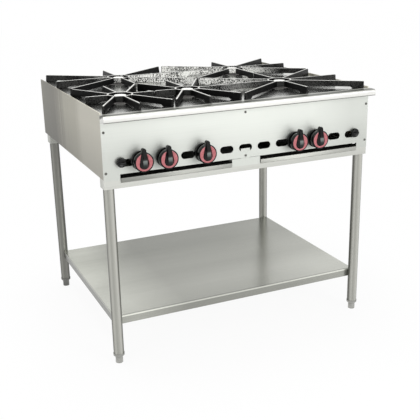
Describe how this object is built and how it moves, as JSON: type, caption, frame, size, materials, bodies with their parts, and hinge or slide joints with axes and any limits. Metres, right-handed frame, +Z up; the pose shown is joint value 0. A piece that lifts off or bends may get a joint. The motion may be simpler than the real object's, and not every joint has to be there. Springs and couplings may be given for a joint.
{
  "type": "gas stove",
  "caption": "Open-top gas stove on a tube stand with lift-off cast grates, red-ringed control knobs, pull-out drip trays and an undershelf.",
  "frame": {"origin": "centre of the footprint at floor level", "axes": "+X to the right seen from the front, +Y to the back, +Z up; the knobs face -Y"},
  "size_m": [1.05, 0.943, 0.941],
  "materials": {
    "side_steel": "brushed, satin",
    "back_steel": "plain rolled",
    "panel_steel": "brushed, bright",
    "nose_steel": "brushed, bright",
    "deck_steel": "polished",
    "screw_steel": "polished",
    "rail_steel": "satin",
    "leg_steel": "satin",
    "foot_steel": "turned",
    "shelf_steel": "satin",
    "pipe_iron": "dull black",
    "valve_brass": "turned",
    "pilot_aluminium": "drawn",
    "burner_iron": "as cast",
    "knob_black": "moulded gloss",
    "ring_red": "satin red",
    "grate_iron": "as cast, rough",
    "tray_steel": "satin"
  },
  "bodies": {
    "frame": {"left_side_panel": "side_steel", "right_side_panel": "side_steel", "back_panel": "back_steel", "front_panel": "panel_steel", "nose_rail": "nose_steel", "deck": "deck_steel", "tray_divider": "panel_steel", "panel_screws": "screw_steel", "front_stand_rail": "rail_steel", "rear_stand_rail": "rail_steel", "leg_front_left": "leg_steel", "leg_front_right": "leg_steel", "leg_rear_left": "leg_steel", "leg_rear_right": "leg_steel", "leg_collars": "foot_steel", "undershelf": "shelf_steel", "shelf_stiffeners": "shelf_steel", "shelf_saddles": "shelf_steel", "burner_bars": "rail_steel", "tray_runners": "rail_steel", "gas_manifold": "pipe_iron", "manifold_brackets": "rail_steel", "gas_inlet": "valve_brass", "gas_valves": "valve_brass", "air_shutters": "rail_steel", "pilot_tubes": "pilot_aluminium", "burner_front_left": "burner_iron", "burner_front_mid": "burner_iron", "burner_front_right": "burner_iron", "burner_rear_left": "burner_iron", "burner_rear_right": "burner_iron"},
    "control_front_left": {"knob_front_left": "knob_black", "ring_front_left": "ring_red"},
    "control_front_mid": {"knob_front_mid": "knob_black", "ring_front_mid": "ring_red"},
    "control_front_right": {"knob_front_right": "knob_black", "ring_front_right": "ring_red"},
    "control_rear_left": {"knob_rear_left": "knob_black", "ring_rear_left": "ring_red"},
    "control_rear_right": {"knob_rear_right": "knob_black", "ring_rear_right": "ring_red"},
    "pilot_control_left": {"pilot_knob_left": "knob_black"},
    "pilot_control_right": {"pilot_knob_right": "knob_black"},
    "tray_left": {"drip_tray_left": "tray_steel"},
    "tray_right": {"drip_tray_right": "tray_steel"},
    "lift_grate_front_left": {"grate_front_left": "grate_iron"},
    "lift_grate_front_mid": {"grate_front_mid": "grate_iron"},
    "lift_grate_front_right": {"grate_front_right": "grate_iron"},
    "lift_grate_rear_left": {"grate_rear_left": "grate_iron"},
    "lift_grate_rear_right": {"grate_rear_right": "grate_iron"},
    "screw_foot_front_left": {"foot_front_left": "foot_steel"},
    "screw_foot_front_right": {"foot_front_right": "foot_steel"},
    "screw_foot_rear_left": {"foot_rear_left": "foot_steel"},
    "screw_foot_rear_right": {"foot_rear_right": "foot_steel"}
  },
  "joints": [
    {"name": "turn_front_left", "type": "hinge", "parent": "frame", "child": "control_front_left", "pos_m": [-0.395, -0.4135, 0.75], "axis": [0, -1, 0], "range_deg": [0, 90]},
    {"name": "turn_front_mid", "type": "hinge", "parent": "frame", "child": "control_front_mid", "pos_m": [-0.164, -0.4135, 0.75], "axis": [0, -1, 0], "range_deg": [0, 90]},
    {"name": "turn_front_right", "type": "hinge", "parent": "frame", "child": "control_front_right", "pos_m": [0.289, -0.4135, 0.75], "axis": [0, -1, 0], "range_deg": [0, 90]},
    {"name": "turn_rear_left", "type": "hinge", "parent": "frame", "child": "control_rear_left", "pos_m": [-0.306, -0.4135, 0.75], "axis": [0, -1, 0], "range_deg": [0, 90]},
    {"name": "turn_rear_right", "type": "hinge", "parent": "frame", "child": "control_rear_right", "pos_m": [0.203, -0.4135, 0.75], "axis": [0, -1, 0], "range_deg": [0, 90]},
    {"name": "pilot_turn_left", "type": "hinge", "parent": "frame", "child": "pilot_control_left", "pos_m": [-0.463, -0.4135, 0.75], "axis": [0, -1, 0], "range_deg": [0, 90]},
    {"name": "pilot_turn_right", "type": "hinge", "parent": "frame", "child": "pilot_control_right", "pos_m": [0.463, -0.4135, 0.75], "axis": [0, -1, 0], "range_deg": [0, 90]},
    {"name": "tray_slide_left", "type": "slide", "parent": "frame", "child": "tray_left", "axis": [0, -1, 0], "range_m": [0, 0.6]},
    {"name": "tray_slide_right", "type": "slide", "parent": "frame", "child": "tray_right", "axis": [0, -1, 0], "range_m": [0, 0.6]},
    {"name": "grate_lift_front_left", "type": "slide", "parent": "frame", "child": "lift_grate_front_left", "axis": [0, 0, 1], "range_m": [0, 0.12]},
    {"name": "grate_lift_front_mid", "type": "slide", "parent": "frame", "child": "lift_grate_front_mid", "axis": [0, 0, 1], "range_m": [0, 0.12]},
    {"name": "grate_lift_front_right", "type": "slide", "parent": "frame", "child": "lift_grate_front_right", "axis": [0, 0, 1], "range_m": [0, 0.12]},
    {"name": "grate_lift_rear_left", "type": "slide", "parent": "frame", "child": "lift_grate_rear_left", "axis": [0, 0, 1], "range_m": [0, 0.12]},
    {"name": "grate_lift_rear_right", "type": "slide", "parent": "frame", "child": "lift_grate_rear_right", "axis": [0, 0, 1], "range_m": [0, 0.12]},
    {"name": "foot_level_front_left", "type": "slide", "parent": "frame", "child": "screw_foot_front_left", "axis": [0, 0, -1], "range_m": [0, 0.025]},
    {"name": "foot_level_front_right", "type": "slide", "parent": "frame", "child": "screw_foot_front_right", "axis": [0, 0, -1], "range_m": [0, 0.025]},
    {"name": "foot_level_rear_left", "type": "slide", "parent": "frame", "child": "screw_foot_rear_left", "axis": [0, 0, -1], "range_m": [0, 0.025]},
    {"name": "foot_level_rear_right", "type": "slide", "parent": "frame", "child": "screw_foot_rear_right", "axis": [0, 0, -1], "range_m": [0, 0.025]}
  ]
}
